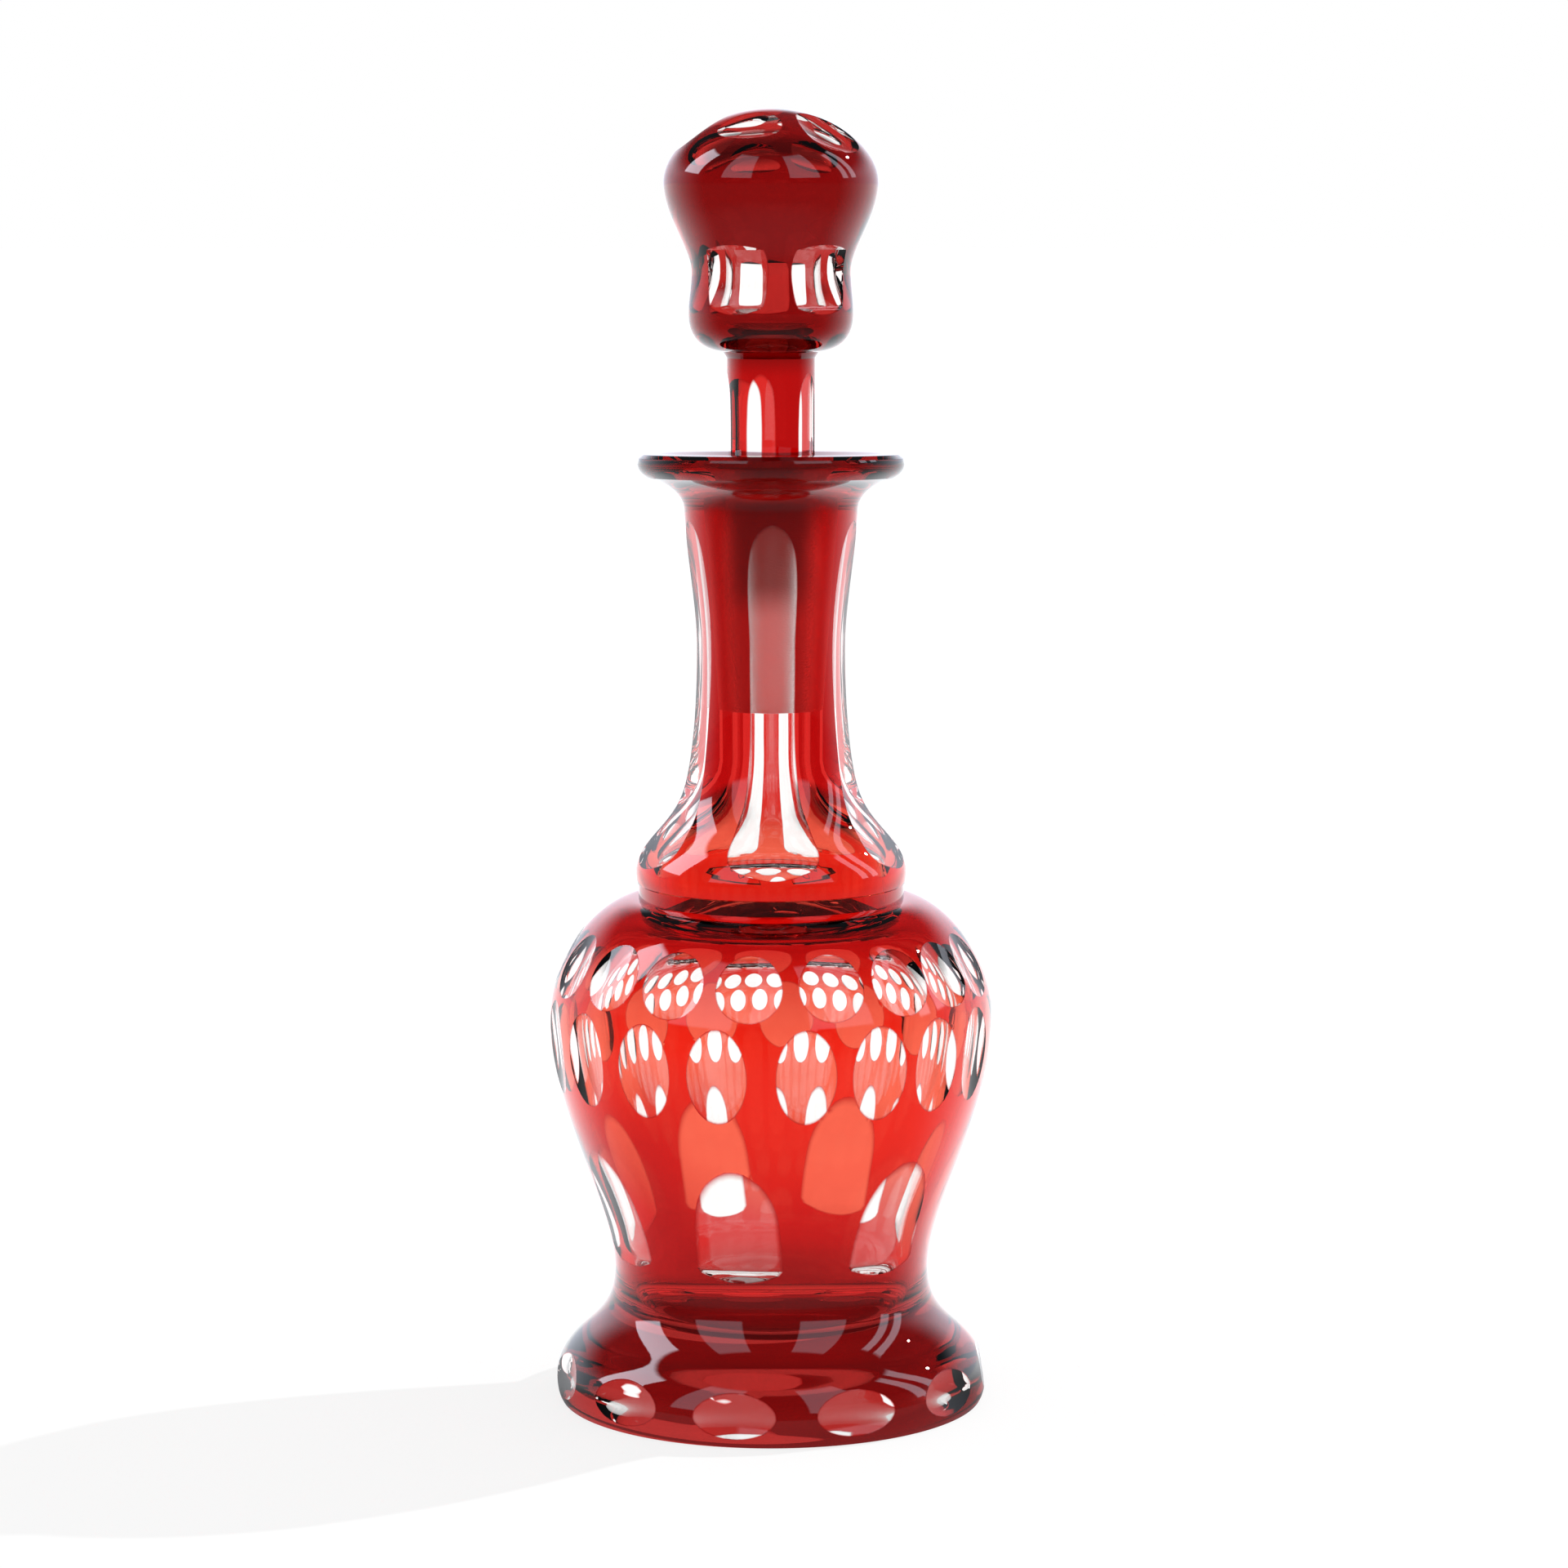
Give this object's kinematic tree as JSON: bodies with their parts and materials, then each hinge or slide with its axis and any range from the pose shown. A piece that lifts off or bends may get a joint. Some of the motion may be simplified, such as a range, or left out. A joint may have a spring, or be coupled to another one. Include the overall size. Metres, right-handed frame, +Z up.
{
  "type": "stoppered carafe",
  "caption": "Baluster-shaped ruby cased cut glass carafe with a flared lip, a spreading foot, rows of oval and arched cuts and a tall ground-in stopper.",
  "frame": {"origin": "centre of the flat underside of the foot, where the carafe stands", "axes": "+Z up along the carafe's axis from the foot to the stopper; -Y is the side towards the viewer and +X is to the viewer's right"},
  "size_m": [0.1164, 0.1163, 0.3401],
  "materials": {
    "crystal": "polished, with the peg and its socket ground matt",
    "ruby": "polished"
  },
  "bodies": {
    "bottle": {"bottle_crystal": "crystal", "bottle_ruby_layer": "ruby"},
    "stopper": {"stopper_crystal": "crystal", "stopper_ruby_layer": "ruby"}
  },
  "joints": [
    {"name": "stopper_lift", "type": "slide", "parent": "bottle", "child": "stopper", "axis": [0, 0, 1], "range_m": [0, 0.078]}
  ]
}
